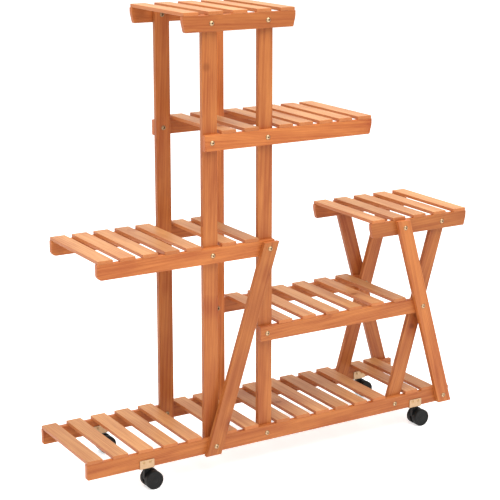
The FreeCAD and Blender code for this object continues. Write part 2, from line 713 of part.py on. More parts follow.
def build_wheel(label, places, turn):
    """A moulded wheel: open inside, closed by a dished disc outside, on a blind bore."""
    body = new_body(label, places, turn)
    bore, depth = "axle_radius + running_fit", "axle_bite + wheel_gap"
    inner_rim, outer_rim = "wheel_radius - wheel_rim", "wheel_radius - wheel_lip"
    disc = "wheel_width - wheel_dish"
    hollow = f"{disc} - wheel_web"
    revolve(body, ((bore, "0"), ("wheel_hub_radius", "0"), ("wheel_hub_radius", hollow),
                   (inner_rim, hollow), (inner_rim, "0"), ("wheel_radius", "0"),
                   ("wheel_radius", "wheel_width"), (outer_rim, "wheel_width"),
                   (outer_rim, disc), ("0", disc), ("0", depth), (bore, depth)), "XY_Plane")
    tread = 2 * value("wheel_radius")
    round_edges(body, "shoulders", "wheel_edge",
                lambda edge: edge.isClosed() and abs(edge.BoundBox.XLength - tread) < CLOSE)
    return body


def build_screw():
    """A pan-headed cross screw along +Z; the underside of its head is on its own origin."""
    body = new_body("bracket_screw")
    revolve(body, (("0", "-1 * screw_head_height"), ("screw_head_radius",
                                                     "-1 * screw_head_height"),
                   ("screw_head_radius", "0"), ("screw_radius", "0"),
                   ("screw_radius", "screw_length"), ("0", "screw_length")))
    top = -value("screw_head_height")
    round_edges(body, "crown", "screw_head_height - screw_head_rim",
                lambda edge: edge.isClosed() and abs(edge.BoundBox.ZMax - top) < CLOSE)
    cross = new_sketch(body, "cross", "XY_Plane", "-1 * screw_head_height")
    arm, half = "recess_reach", "recess_width / 2"
    quarter = ((half, half), (arm, half), (arm, f"-1 * {half}"), (half, f"-1 * {half}"))
    lower = ((half, f"-1 * {arm}"), (f"-1 * {half}", f"-1 * {arm}"),
             (f"-1 * {half}", f"-1 * {half}"), (f"-1 * {arm}", f"-1 * {half}"))
    upper = ((f"-1 * {arm}", half), (f"-1 * {half}", half), (f"-1 * {half}", arm), (half, arm))
    add_outline(cross, quarter + lower + upper)
    extrude(body, cross, "recess_depth", "Pocket", reverse=True)
    return body


def build_caster(corner, station, face):
    """The pieces of one caster, on a rail's face that looks to the front."""
    rail_edge = (along(station), face, "base_clearance")
    swivel = f"({face} + caster_inset)"
    axle = f"({along(station)} + caster_trail)"
    inner = "(housing_width / 2 + wheel_gap)"
    return [
        build_bracket(f"{corner}_bracket", rail_edge),
        build_stem(f"{corner}_stem", (along(station), swivel, "base_clearance")),
        build_housing(f"{corner}_housing", (along(station), swivel, "wheel_radius")),
        build_axle(f"{corner}_axle", (axle, swivel, "wheel_radius")),
        build_wheel(f"{corner}_near_wheel", (axle, f"{swivel} - {inner}", "wheel_radius"), 180),
        build_wheel(f"{corner}_far_wheel", (axle, f"{swivel} + {inner}", "wheel_radius"), 0),
    ]


def build_casters():
    """Four casters and the screws of their brackets."""
    nodes = []
    screws = []
    for name, face in CASTER_FACES.items():
        for hand, station in CASTER_STATIONS.items():
            nodes += build_caster(f"{name}_{hand}", station, face)
            screws += [facing(f"{station} + {across} * screw_spacing / 2",
                              value(f"{face} - bracket_thickness"),
                              "base_clearance + screw_rise", -1) for across in (-1, 1)]
    nodes.append(place_copies("bracket_screws", build_screw(), screws))
    return nodes


# ---- the stand -----------------------------------------------------------------------------------
NODES = (build_rails() + build_slats() + build_posts() + build_legs() + [build_brace()]
         + build_fasteners() + build_casters())

document.recompute()
for item in document.Objects:
    if {"Invalid", "Error"} & set(item.State):
        raise RuntimeError(f"{item.Label} did not compute: {item.State}")
for node in NODES:
    if node.Shape.isNull() or not node.Shape.isValid():
        raise RuntimeError(f"{node.Label} has no valid shape")

os.makedirs("parts", exist_ok=True)
for node in NODES:
    node.Shape.exportStep(f"parts/{node.Label}.step")
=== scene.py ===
import logging
import math
import random
from collections.abc import Callable
from dataclasses import dataclass, field
from enum import Enum

import bmesh
import bpy
from mathutils import Euler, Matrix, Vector


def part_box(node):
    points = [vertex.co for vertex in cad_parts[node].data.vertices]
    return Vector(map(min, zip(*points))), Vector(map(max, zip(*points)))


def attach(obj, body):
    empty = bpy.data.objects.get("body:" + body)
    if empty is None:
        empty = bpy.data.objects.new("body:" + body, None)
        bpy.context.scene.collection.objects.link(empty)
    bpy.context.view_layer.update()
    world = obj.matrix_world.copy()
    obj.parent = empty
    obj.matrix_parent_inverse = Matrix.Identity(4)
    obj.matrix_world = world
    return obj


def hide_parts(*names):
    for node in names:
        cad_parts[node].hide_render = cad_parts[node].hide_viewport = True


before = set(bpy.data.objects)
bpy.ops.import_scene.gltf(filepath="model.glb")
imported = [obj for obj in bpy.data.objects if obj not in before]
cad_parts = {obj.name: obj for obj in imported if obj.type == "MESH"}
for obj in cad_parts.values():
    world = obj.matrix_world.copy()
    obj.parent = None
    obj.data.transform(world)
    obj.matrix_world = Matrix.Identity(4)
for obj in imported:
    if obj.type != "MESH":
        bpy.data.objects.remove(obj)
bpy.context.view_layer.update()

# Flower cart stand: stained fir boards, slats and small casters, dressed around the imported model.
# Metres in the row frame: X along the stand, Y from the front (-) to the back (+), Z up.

MM = 0.001
SLAT_PLACES = ((0.035, 0.0, -0.055), (0.095, 8.0, 0.055))     # m, least and most, in its log
SLAT_TONES = (0.88, 1.08)
CROSS = -4                            # in the place of a number of sides: a screw's cross recess
CROSS_HALF_WIDTH = 0.45               # mm
LOG = logging.getLogger("stand")

Tree, Node, Socket = bpy.types.NodeTree, bpy.types.Node, bpy.types.NodeSocket
Material, Mesh, Object = bpy.types.Material, bpy.types.Mesh, bpy.types.Object
Colour = tuple[float, float, float, float]
Profile = list[tuple[float, float]]

MATH = "ShaderNodeMath"
VECTOR_MATH = "ShaderNodeVectorMath"
MAP_RANGE = "ShaderNodeMapRange"
MIX = "ShaderNodeMix"
NOISE = "ShaderNodeTexNoise"
SPLIT = "ShaderNodeSeparateXYZ"
JOIN = "ShaderNodeCombineXYZ"


# ---- small helpers -------------------------------------------------------------------------------
def linear(code: str) -> Colour:
    """Turn an sRGB hex colour to the linear values that the shaders take.

    Args:
        code: six hex digits, with or without a leading #.

    Returns:
        Linear red, green, blue and an alpha of 1.
    """
    channels = [int(code.lstrip("#")[at:at + 2], 16) / 255 for at in (0, 2, 4)]
    return (*(c / 12.92 if c <= 0.04045 else ((c + 0.055) / 1.055) ** 2.4 for c in channels), 1.0)


def add(tree: Tree, kind: str, inputs: dict | None = None, **settings: object) -> Node:
    """Add a node with its settings, values and links.

    Args:
        tree: the shader or geometry tree.
        kind: the node's type name.
        inputs: for each input, by name or number: a value, a socket, or a node for its first.
        settings: the node's own properties.

    Returns:
        The new node.
    """
    node = tree.nodes.new(kind)
    for name, setting in settings.items():
        setattr(node, name, setting)
    for key, given in (inputs or {}).items():
        given = given.outputs[0] if isinstance(given, Node) else given
        if isinstance(given, Socket):
            tree.links.new(given, node.inputs[key])
        else:
            node.inputs[key].default_value = given
    return node


def new_material(name: str) -> tuple[Material, Tree, Node]:
    """Make an empty material.

    Args:
        name: the finish's name.

    Returns:
        The material, its tree, and its Principled shader, already linked to the output.
    """
    material = bpy.data.materials.new(name)
    material.use_nodes = True
    tree = material.node_tree
    tree.nodes.clear()
    shader = add(tree, "ShaderNodeBsdfPrincipled")
    add(tree, "ShaderNodeOutputMaterial", {"Surface": shader})
    return material, tree, shader


def finish_with(tree: Tree, shader: Node, colour: Socket, rough: Node, height: Node,
                relief: tuple[float, float], even: dict[str, float]) -> None:
    """Feed a Principled shader.

    Args:
        tree: the material's tree.
        shader: the Principled shader.
        colour: the base colour.
        rough: the node that gives the roughness.
        height: the node that gives the height of the surface.
        relief: the strength of that height, and its depth in millimetres.
        even: the inputs that are the same all over.
    """
    bump = add(tree, "ShaderNodeBump", {
        "Height": height, "Strength": relief[0], "Distance": relief[1] * MM})
    tree.links.new(colour, shader.inputs["Base Color"])
    tree.links.new(rough.outputs[0], shader.inputs["Roughness"])
    tree.links.new(bump.outputs[0], shader.inputs["Normal"])
    for name, level in even.items():
        shader.inputs[name].default_value = level


def show(mesh: Mesh, name: str) -> Object:
    """Link a mesh to the scene as an object at the origin.

    Args:
        mesh: the mesh, in the row frame.
        name: the object's name.

    Returns:
        The new object.
    """
    piece = bpy.data.objects.new(name, mesh)
    bpy.context.scene.collection.objects.link(piece)
    return piece


def sided_radius(radius: float, sides: int, angle: float) -> float:
    """Radius of a circle, of a regular polygon about it, or of a cross, at an angle.

    Args:
        radius: the circle's radius, half of the polygon across its flats, or a cross's reach.
        sides: the polygon's sides, 0 for a circle, or CROSS.
        angle: the angle about the axis.

    Returns:
        The distance from the axis.
    """
    if not sides:
        return radius
    if sides == CROSS:
        from_arm = (angle + math.pi / 4) % (math.pi / 2) - math.pi / 4
        return radius if abs(from_arm) < 0.01 else min(
            radius, CROSS_HALF_WIDTH / abs(math.sin(from_arm)))
    sector = 2 * math.pi / sides
    return radius / math.cos((angle + sector / 2) % sector - sector / 2)


def lathe(name: str, profile: Profile, segments: int, flats: dict[int, int] | None = None,
          closed: bool = False, smooth_below: float = 35.0) -> Mesh:
    """Turn a profile about +Z into a closed mesh.

    Args:
        name: the mesh's name.
        profile: pairs of radius and height in millimetres.
        segments: how many steps round the axis.
        flats: the number of sides of the profile points that aren't round, by their place in it.
        closed: whether the last point joins the first.
        smooth_below: the edge angle in degrees up to which the surface is shaded smooth.

    Returns:
        The mesh, in metres.
    """
    flats = flats or {}
    shape = bmesh.new()
    rings = []
    for place, (radius, height) in enumerate(profile):
        steps = 1 if radius == 0 else segments
        ring = []
        for step in range(steps):
            angle = 2 * math.pi * step / segments
            reach = sided_radius(radius, flats.get(place, 0), angle) * MM
            ring.append(shape.verts.new(
                (reach * math.cos(angle), reach * math.sin(angle), height * MM)))
        rings.append(ring)
    pairs = list(zip(rings, rings[1:])) + ([(rings[-1], rings[0])] if closed else [])
    for lower, upper in pairs:
        if len(lower) == len(upper) == 1:
            continue
        for step in range(segments):
            following = (step + 1) % segments
            corners = [lower[step % len(lower)], lower[following % len(lower)],
                       upper[following % len(upper)], upper[step % len(upper)]]
            shape.faces.new(list(dict.fromkeys(corners)))
    bmesh.ops.recalc_face_normals(shape, faces=shape.faces)
    mesh = bpy.data.meshes.new(name)
    shape.to_mesh(mesh)
    shape.free()
    mesh.shade_smooth()
    mesh.set_sharp_from_angle(angle=math.radians(smooth_below))
    return mesh


def dress(node: str, material: Material) -> None:
    """Give a CAD node its finish.

    Args:
        node: the node's name.
        material: the finish.
    """
    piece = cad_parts[node]
    if not piece.material_slots:
        piece.data.materials.append(material)
    for slot in piece.material_slots:
        slot.material = material
    LOG.info("%s: CAD shape in %s", node, material.name)


def stand_for(piece: Object, nodes: tuple[str, ...], body: str) -> None:
    """Put a piece in the place of CAD nodes, on their body, and log how well their boxes agree.

    Args:
        piece: the finished piece.
        nodes: the CAD nodes that it stands for.
        body: the body that it rides on.
    """
    lows, highs = zip(*(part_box(node) for node in nodes))
    corners = [Vector(vertex.co) for vertex in piece.data.vertices]
    misses = [abs(min(c[axis] for c in corners) - min(low[axis] for low in lows))
              for axis in range(3)]
    misses += [abs(max(c[axis] for c in corners) - max(high[axis] for high in highs))
               for axis in range(3)]
    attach(piece, body)
    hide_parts(*nodes)
    LOG.info("%s: %d faces, on %s, box within %.2f mm of its CAD nodes", piece.name,
             len(piece.data.polygons), body, max(misses) / MM)


# ---- finishes ------------------------------------------------------------------------------------
class Grain(Enum):
    """Which way a board's grain runs."""

    ALONG = "along X, as in a rail"
    ACROSS = "along Y, as in a slat"
    UPWARDS = "along Z, or leaning from it, as in a post or a leg"


@dataclass(frozen=True)
class StainedFir:
    """Planed fir, honey stained under a satin clear coat.

    Growth rings lean a little to the board, so they show as long arches on its faces and as arcs
    on its cut ends, which soak up more stain.  On a thin slat the long edges take that darker
    colour too, as painted shade, which leaves its top paler, as painted light.  A few small knots,
    the stubs of branches that grew outwards from the pith, push the rings aside.  The clear coat
    pales what it reflects at a flat angle, such as the tops of the shelves.
    """

    name: str
    grain: Grain
    seed: int = 0
    lean: float = 0.0                 # degrees from upright, towards +X
    middle: tuple[float, float, float] = (0.0, 0.0, 0.0)   # of the board
    shift_attribute: str = ""         # of pieces that hold many boards
    early: str = "#CC7F41"            # pale wood of spring
    late: str = "#97461C"             # dark wood of summer
    knot: str = "#7B3A12"
    end_grain_and_edge_shade: str = "#BE6833"             # end grain, which soaks up more stain; on a slat also painted shade on its long edges
    end_grain_and_edge_shade_weight: float = 0.7
    shades_long_edges: bool = False      # whether its narrow long faces take that colour too, as painted shade on a thin slat
    smudge: tuple[float, float, float] | None = None       # middle of a soft knot under the coat
    smudge_reach: tuple[float, float] = (13.0, 3.0)        # mm, its rim and its full depth
    smudge_share: float = 0.5
    ring_spacing: float = 2.8         # mm
    ring_wander: float = 9.0          # mm that the rings bend off round
    ring_push: float = 5.0            # mm that a knot pushes them aside
    ring_sharpness: float = 2.6       # of the late wood's edge
    # length along the grain and width across it in mm, detail
    patterns: tuple[tuple[str, float, float, float], ...] = (
        ("wander", 420.0, 38.0, 1.0), ("blotch", 150.0, 40.0, 2.0), ("streak", 260.0, 4.5, 3.0),
        ("fibre", 22.0, 0.55, 2.0))
    knot_cell: tuple[float, float] = (0.110, 0.6)          # metres along, radians round the pith
    knot_share: float = 0.14          # share of the cells that hold one
    # rims of a knot's parts, outer and inner, in cells
    knot_rims: tuple[tuple[str, float, float], ...] = (
        ("core", 0.085, 0.03), ("halo", 0.34, 0.04))
    # dark wood's share: rings, soft blotches of stain, streaks, fibre and the knots' halos;
    # each pattern's low and high value and its weight
    dark_shares: tuple[tuple[str, float, float, float], ...] = (
        ("ring", 0.0, 1.0, 0.34), ("blotch", 0.36, 0.66, 0.34), ("streak", 0.38, 0.66, 0.36),
        ("fibre", 0.2, 0.8, 0.24), ("halo", 0.0, 1.0, 0.34))
    tone: float = 1.0                 # of the whole board
    tone_spread: float = 0.04
    coat: float = 0.22
    coat_roughness: float = 0.36
    gloss: float = 0.22               # specular level of the wood under the coat
    roughness: tuple[float, float] = (0.42, 0.58)
    fibre_height: float = 0.5         # over the rings'
    relief: tuple[float, float] = (0.22, 0.12)             # its strength, its depth in mm

    def turn(self) -> Euler:
        """Find how the board is turned.

        Returns:
            The rotation that lays the grain along X.
        """
        if self.grain is Grain.ALONG:
            return Euler()
        if self.grain is Grain.ACROSS:
            return Euler((0.0, 0.0, math.radians(-90)))
        return Euler((0.0, math.radians(90 - self.lean), 0.0))

    def log_turn(self) -> Euler:
        """Find how the log is turned, whose pith leans a few degrees to the board.

        Returns:
            The rotation into the log.
        """
        chance = random.Random(self.seed + 2)
        tilt = Euler((0.0, math.radians(chance.choice((-1, 1)) * chance.uniform(1.2, 2.8)),
                      math.radians(chance.uniform(-1.5, 1.5))))
        return (tilt.to_matrix() @ self.turn().to_matrix()).to_euler()

    def offset(self) -> Vector:
        """Choose where the board lies in its log: anywhere along, a few centimetres off the pith.

        Returns:
            The shift into the log, or none where each board of a piece has its own.
        """
        if self.shift_attribute:
            return Vector()
        chance = random.Random(self.seed)
        in_log = Vector((chance.uniform(0, 8), chance.uniform(-0.03, 0.03),
                         chance.choice((-1, 1)) * chance.uniform(0.035, 0.08)))
        return in_log - self.log_turn().to_matrix() @ Vector(self.middle)

    def shades(self) -> tuple[Colour, Colour]:
        """Make the wood's two colours, a little lighter or darker from board to board.

        Returns:
            The early and the late wood.
        """
        tone = self.tone * (1 + random.Random(self.seed + 1).uniform(
            -self.tone_spread, self.tone_spread))
        return tuple((*(c * tone for c in linear(code)[:3]), 1.0)
                     for code in (self.early, self.late))

    def noises(self, tree: Tree, board: Node) -> dict[str, Node]:
        """Add the noises, stretched along the grain.

        Args:
            tree: the finish's tree.
            board: the node that gives the place in the log.

        Returns:
            A noise for each pattern.
        """
        found = {}
        for name, length, width, detail in self.patterns:
            stretched = add(tree, VECTOR_MATH, {0: board, 1: (
                1 / (length * MM), 1 / (width * MM), 1 / (width * MM))}, operation="MULTIPLY")
            found[name] = add(tree, NOISE, {"Vector": stretched, "Scale": 1.0, "Detail": detail})
        return found

    def knots(self, tree: Tree, board: Node) -> dict[str, Node]:
        """Add the knots: a few cells of a pattern along the pith and round it hold one.

        Args:
            tree: the finish's tree.
            board: the node that gives the place in the log.

        Returns:
            How much a place lies in a knot's core, and in its halo.
        """
        part = add(tree, SPLIT, {0: board})
        around = add(tree, MATH, {0: part.outputs[2], 1: part.outputs[1]}, operation="ARCTAN2")
        rolled = add(tree, JOIN, {0: part, 1: around})
        cells = add(tree, VECTOR_MATH, {0: rolled, 1: (
            1 / self.knot_cell[0], 1 / self.knot_cell[1], 0.0)}, operation="MULTIPLY")
        voronoi = add(tree, "ShaderNodeTexVoronoi", {"Vector": cells, "Scale": 1.0},
                      voronoi_dimensions="2D")
        draw = add(tree, "ShaderNodeSeparateColor", {0: voronoi.outputs["Color"]})
        held = add(tree, MATH, {0: draw, 1: 1 - self.knot_share}, operation="GREATER_THAN")
        rims = {}
        for name, outer, inner in self.knot_rims:
            near = add(tree, MAP_RANGE, {
                "Value": voronoi.outputs["Distance"], "From Min": outer, "From Max": inner},
                interpolation_type="SMOOTHSTEP")
            rims[name] = add(tree, MATH, {0: near, 1: held}, operation="MULTIPLY")
        return rims

    def rings(self, tree: Tree, board: Node, wander: Node, halo: Node) -> Node:
        """Add the growth rings about the pith, which lies along X of the log.

        Args:
            tree: the finish's tree.
            board: the node that gives the place in the log.
            wander: the noise that bends them off round.
            halo: the knots' halos, which push them aside.

        Returns:
            How late in its year the wood grew, from 0 to 1.
        """
        radial = add(tree, VECTOR_MATH, {0: board, 1: (0.0, 1.0, 1.0)}, operation="MULTIPLY")
        distance = add(tree, VECTOR_MATH, {0: radial}, operation="LENGTH")
        bent = add(tree, MATH, {
            0: wander, 1: self.ring_wander * MM, 2: distance.outputs["Value"]},
            operation="MULTIPLY_ADD")
        pushed = add(tree, MATH, {0: halo, 1: self.ring_push * MM, 2: bent},
                     operation="MULTIPLY_ADD")
        years = add(tree, MATH, {0: pushed, 1: self.ring_spacing * MM}, operation="DIVIDE")
        season = add(tree, MATH, {0: years}, operation="FRACT")
        return add(tree, MATH, {0: season, 1: self.ring_sharpness}, operation="POWER")

    def end_grain_and_edge_shade_mask(self, tree: Tree, normal: Socket) -> Node:
        """Tell the faces that take the darker colour, by the side that they face: cut ends, as end
        grain soaks up more stain, and on a slat its long edges too, as painted shade.

        Args:
            tree: the finish's tree.
            normal: the surface's normal, in the piece's own coordinates.

        Returns:
            The share of the darker colour of end grain and painted edge shade.
        """
        turned = add(tree, "ShaderNodeMapping", {"Vector": normal, "Rotation": self.turn()},
                     vector_type="NORMAL")
        # on a slat, every face but its top and bottom: its long edges take painted shade
        facing = add(tree, SPLIT, {0: turned}).outputs[2 if self.shades_long_edges else 0]
        end_grain_and_edge_shade = add(tree, MATH, {0: facing}, operation="ABSOLUTE")
        none, full = (0.9, 0.6) if self.shades_long_edges else (0.7, 0.95)
        return add(tree, MAP_RANGE, {"Value": end_grain_and_edge_shade, "From Min": none, "From Max": full,
                                     "To Max": self.end_grain_and_edge_shade_weight})

    def material(self) -> Material:
        """Build the finish as nodes.

        Returns:
            The material.
        """
        material, tree, shader = new_material(self.name)
        texture = add(tree, "ShaderNodeTexCoord").outputs
        place = texture["Object"]
        if self.shift_attribute:
            shift = add(tree, "ShaderNodeAttribute", attribute_name=self.shift_attribute)
            place = add(tree, VECTOR_MATH, {0: place, 1: shift.outputs["Vector"]}, operation="ADD")
        board = add(tree, "ShaderNodeMapping", {
            "Vector": place, "Rotation": self.log_turn(), "Location": self.offset()})
        marks = self.noises(tree, board) | self.knots(tree, board)
        marks["ring"] = self.rings(tree, board, marks["wander"], marks["halo"])

        dark = 0.0
        for name, low, high, weight in self.dark_shares:
            share = add(tree, MAP_RANGE, {
                "Value": marks[name], "From Min": low, "From Max": high, "To Max": weight})
            dark = add(tree, MATH, {0: share, 1: dark}, operation="ADD")
        early, late = self.shades()
        wood = add(tree, MIX, {0: dark, 6: early, 7: late}, data_type="RGBA")
        stub = marks["core"]
        if self.smudge:
            apart = add(tree, VECTOR_MATH, {0: texture["Object"], 1: self.smudge},
                        operation="DISTANCE")
            stub = add(tree, MAP_RANGE, {
                "Value": apart.outputs["Value"], "From Min": self.smudge_reach[0] * MM,
                "From Max": self.smudge_reach[1] * MM, "To Max": self.smudge_share},
                interpolation_type="SMOOTHSTEP")
        knotted = add(tree, MIX, {0: stub, 6: wood.outputs[2], 7: linear(self.knot)},
                      data_type="RGBA")
        # cut ends darker as end grain; a slat's long edges darker too, as painted shade
        end_grain_and_edge_shaded = add(tree, MIX, {
            0: self.end_grain_and_edge_shade_mask(tree, texture["Normal"]), 6: knotted.outputs[2],
            7: linear(self.end_grain_and_edge_shade)}, data_type="RGBA")
        colour = end_grain_and_edge_shaded.outputs[2]
        if self.shift_attribute:
            tone = add(tree, "ShaderNodeAttribute", attribute_name="board_tone")
            colour = add(tree, VECTOR_MATH, {0: colour, "Scale": tone.outputs["Fac"]},
                         operation="SCALE").outputs[0]

        rough = add(tree, MAP_RANGE, {
            "Value": marks["streak"], "To Min": self.roughness[0], "To Max": self.roughness[1]})
        height = add(tree, MATH, {0: marks["fibre"], 1: self.fibre_height, 2: marks["ring"]},
                     operation="MULTIPLY_ADD")
        finish_with(tree, shader, colour, rough, height, self.relief, {
            "Specular IOR Level": self.gloss, "Coat Weight": self.coat,
            "Coat Roughness": self.coat_roughness})
        return material


@dataclass(frozen=True)
class CloudedFinish:
    """One colour with soft clouds in it and in its gloss, and a fine relief.

    With painted shade it is dark where the mesh's unshaded share is low: round a bolt's head
    and in its socket, and over the sleeve nuts, darkest in their bore and at their rim.
    """

    name: str
    body: str
    cloud: str                        # the same colour where it is a little dull
    roughness: tuple[float, float]
    # colour of the painted shade where the mesh's unshaded share is low
    painted_shade: str = ""
    cloud_size: float = 2.2           # mm
    grain_size: float = 0.25          # mm
    grain_detail: float = 1.0
    relief: tuple[float, float] = (0.12, 0.02)             # its strength, its depth in mm
    metallic: float = 1.0
    gloss: float = 0.5                # specular level

    def material(self) -> Material:
        """Build the finish as nodes.

        Returns:
            The material.
        """
        material, tree, shader = new_material(self.name)
        place = add(tree, "ShaderNodeTexCoord").outputs["Object"]
        clouds, grain = (
            add(tree, NOISE, {"Vector": place, "Scale": 1 / (size * MM), "Detail": detail})
            for size, detail in ((self.cloud_size, 3.0), (self.grain_size, self.grain_detail)))
        colour = add(tree, MIX, {
            0: clouds, 6: linear(self.body), 7: linear(self.cloud)}, data_type="RGBA")
        # painted shade: darker where the mesh's unshaded share is low
        if self.painted_shade:
            polish = add(tree, "ShaderNodeAttribute", attribute_name="polish")
            colour = add(tree, MIX, {
                0: polish.outputs["Fac"], 6: linear(self.painted_shade), 7: colour.outputs[2]},
                data_type="RGBA")
        rough = add(tree, MAP_RANGE, {
            "Value": clouds, "From Min": 0.3, "From Max": 0.7,
            "To Min": self.roughness[0], "To Max": self.roughness[1]})
        finish_with(tree, shader, colour.outputs[2], rough, grain, self.relief, {
            "Metallic": self.metallic, "Specular IOR Level": self.gloss})
        return material


@dataclass(frozen=True)
class PlatedSteel(CloudedFinish):
    """Steel with a thin bright plating, its scratches drawn coarser than real ones, to show."""


@dataclass(frozen=True)
class MouldedNylon(CloudedFinish):
    """Black moulded nylon with a faint grey bloom; the mould's fine texture keeps it matt."""

    cloud_size: float = 9.0
    grain_size: float = 0.35
    grain_detail: float = 2.0
    relief: tuple[float, float] = (0.25, 0.04)
    metallic: float = 0.0
    gloss: float = 0.2


# ---- geometry trees ------------------------------------------------------------------------------
class PieceTree:
    """A Geometry Nodes tree with named inputs, whose result becomes a plain mesh."""

    def __init__(self, name: str, inputs: dict[str, str]) -> None:
        """Start the tree.

        Args:
            name: the tree's name.
            inputs: the socket type of each named input.
        """
        self.tree = bpy.data.node_groups.new(name, "GeometryNodeTree")
        self.tree.interface.new_socket("Geometry", in_out="INPUT",
                                       socket_type="NodeSocketGeometry")
        self.identifiers = {
            label: self.tree.interface.new_socket(
                label, in_out="INPUT", socket_type=f"NodeSocket{kind}").identifier
            for label, kind in inputs.items()}
        self.tree.interface.new_socket("Geometry", in_out="OUTPUT",
                                       socket_type="NodeSocketGeometry")
        self.given = add(self.tree, "NodeGroupInput").outputs

    def close(self, geometry: Node) -> None:
        """End the tree: make the instances real and give them the input named Finish.

        Args:
            geometry: the node that gives the instances.
        """
        real = add(self.tree, "GeometryNodeRealizeInstances", {0: geometry})
        finished = add(self.tree, "GeometryNodeSetMaterial", {
            "Geometry": real, "Material": self.given["Finish"]})
        add(self.tree, "NodeGroupOutput", {0: finished})

    def run(self, base: Mesh, values: dict[str, object]) -> Mesh:
        """Evaluate the tree on a mesh.

        Args:
            base: the mesh that the tree starts from.
            values: a value for each named input.

        Returns:
            The result as a plain mesh.
        """
        carrier = show(base, f"{base.name}_carrier")
        modifier = carrier.modifiers.new(self.tree.name, "NODES")
        modifier.node_group = self.tree
        for label, value in values.items():
            modifier[self.identifiers[label]] = value
        graph = bpy.context.evaluated_depsgraph_get()
        mesh = bpy.data.meshes.new_from_object(
            carrier.evaluated_get(graph), preserve_all_data_layers=True, depsgraph=graph)
        carrier.modifiers.clear()
        bpy.data.objects.remove(carrier)
        return mesh


def slat_tree() -> PieceTree:
    """Build the tree that lays a row of slats.

    Returns:
        A tree whose slats are boxes with rounded edges, each with its own place in the grain.
    """
    made = PieceTree("slat_row", {
        "Width": "Float", "Length": "Float", "Thickness": "Float", "Rounding": "Float",
        "Count": "Int", "First": "Float", "Pitch": "Float", "Top": "Float", "Seed": "Int",
        "Finish": "Material"})
    tree, given = made.tree, made.given

    # a cube with four lines each way: the outer two at its faces, the inner two where they round
    block = add(tree, "GeometryNodeMeshCube", {
        0: (1.0, 1.0, 1.0), "Vertices X": 4, "Vertices Y": 4, "Vertices Z": 4})
    spot = add(tree, "GeometryNodeInputPosition")
    side = add(tree, VECTOR_MATH, {0: spot}, operation="SIGN")
    reach = add(tree, VECTOR_MATH, {0: spot}, operation="ABSOLUTE")
    outer = add(tree, VECTOR_MATH, {
        0: reach, 1: (3.0, 3.0, 3.0), 2: (-0.5, -0.5, -0.5)}, operation="MULTIPLY_ADD")
    signed = add(tree, VECTOR_MATH, {0: outer, 1: side}, operation="MULTIPLY")
    away = add(tree, VECTOR_MATH, {0: signed}, operation="NORMALIZE")
    rounding = add(tree, VECTOR_MATH, {0: away, "Scale": given["Rounding"]}, operation="SCALE")
    size = add(tree, JOIN, {0: given["Width"], 1: given["Length"], 2: given["Thickness"]})
    half = add(tree, VECTOR_MATH, {0: size, "Scale": 0.5}, operation="SCALE")
    inset = add(tree, JOIN, {axis: given["Rounding"] for axis in range(3)})
    core = add(tree, VECTOR_MATH, {0: half, 1: inset}, operation="SUBTRACT")
    edge = add(tree, VECTOR_MATH, {0: core, 1: side, 2: rounding}, operation="MULTIPLY_ADD")
    slat = add(tree, "GeometryNodeSetPosition", {"Geometry": block, "Position": edge})

    # the row, by the middle of each slat
    half_width = add(tree, MATH, {0: given["Width"], 1: 0.5, 2: given["First"]},
                     operation="MULTIPLY_ADD")
    middle = add(tree, MATH, {0: given["Thickness"], 1: -0.5, 2: given["Top"]},
                 operation="MULTIPLY_ADD")
    start = add(tree, JOIN, {0: half_width, 2: middle})
    step = add(tree, JOIN, {0: given["Pitch"]})
    line = add(tree, "GeometryNodeMeshLine", {
        "Count": given["Count"], "Start Location": start, "Offset": step}, mode="OFFSET")
    row = add(tree, "GeometryNodeInstanceOnPoints", {"Points": line, "Instance": slat})

    # each slat's own place in its log, and its tone
    number = add(tree, "GeometryNodeInputIndex")
    log = add(tree, "FunctionNodeRandomValue", {
        0: SLAT_PLACES[0], 1: SLAT_PLACES[1], "ID": number, "Seed": given["Seed"]},
        data_type="FLOAT_VECTOR")
    shift = add(tree, VECTOR_MATH, {
        0: log, 1: add(tree, "GeometryNodeInputPosition")}, operation="SUBTRACT")
    placed = add(tree, "GeometryNodeStoreNamedAttribute", {
        "Geometry": row, "Name": "board_shift", "Value": shift},
        data_type="FLOAT_VECTOR", domain="INSTANCE")
    other = add(tree, MATH, {0: given["Seed"], 1: 101.0}, operation="ADD")
    tone = add(tree, "FunctionNodeRandomValue", {
        2: SLAT_TONES[0], 3: SLAT_TONES[1], "ID": number, "Seed": other},
        data_type="FLOAT").outputs[1]
    toned = add(tree, "GeometryNodeStoreNamedAttribute", {
        "Geometry": placed, "Name": "board_tone", "Value": tone},
        data_type="FLOAT", domain="INSTANCE")
    made.close(toned)
    return made


def fastener_tree() -> PieceTree:
    """Build the tree that sets one fastener at each point of a mesh.

    Returns:
        A tree that turns each copy to face the side its point names, spun by a random angle.
    """
    made = PieceTree("fasteners", {
        "Fastener": "Object", "Spin": "Float", "Seed": "Int", "Finish": "Material"})
    tree, given = made.tree, made.given
    side = add(tree, "GeometryNodeInputNamedAttribute", {"Name": "facing"}, data_type="FLOAT")
    tilt = add(tree, MATH, {0: side, 1: math.pi / 2}, operation="MULTIPLY")
    spin = add(tree, "FunctionNodeRandomValue", {
        2: 0.0, 3: given["Spin"], "Seed": given["Seed"]}, data_type="FLOAT").outputs[1]
    angles = add(tree, JOIN, {0: tilt, 1: spin})
    turned = add(tree, "FunctionNodeEulerToRotation", {0: angles})
    shape = add(tree, "GeometryNodeObjectInfo", {"Object": given["Fastener"]})
    copies = add(tree, "GeometryNodeInstanceOnPoints", {
        "Points": given["Geometry"], "Instance": shape.outputs["Geometry"], "Rotation": turned})
    made.close(copies)
    return made


# ---- the stand's sizes ---------------------------------------------------------------------------
@dataclass(frozen=True)
class Row:
    """A row of evenly spaced slats between two stations, in millimetres."""

    start: float
    end: float
    count: int


@dataclass(frozen=True)
class Bolt:
    """Where a frame bolt sits: its line, its side, boards outside the rail and boards in all."""

    station: float
    height: float
    side: int
    outside: int
    boards: int


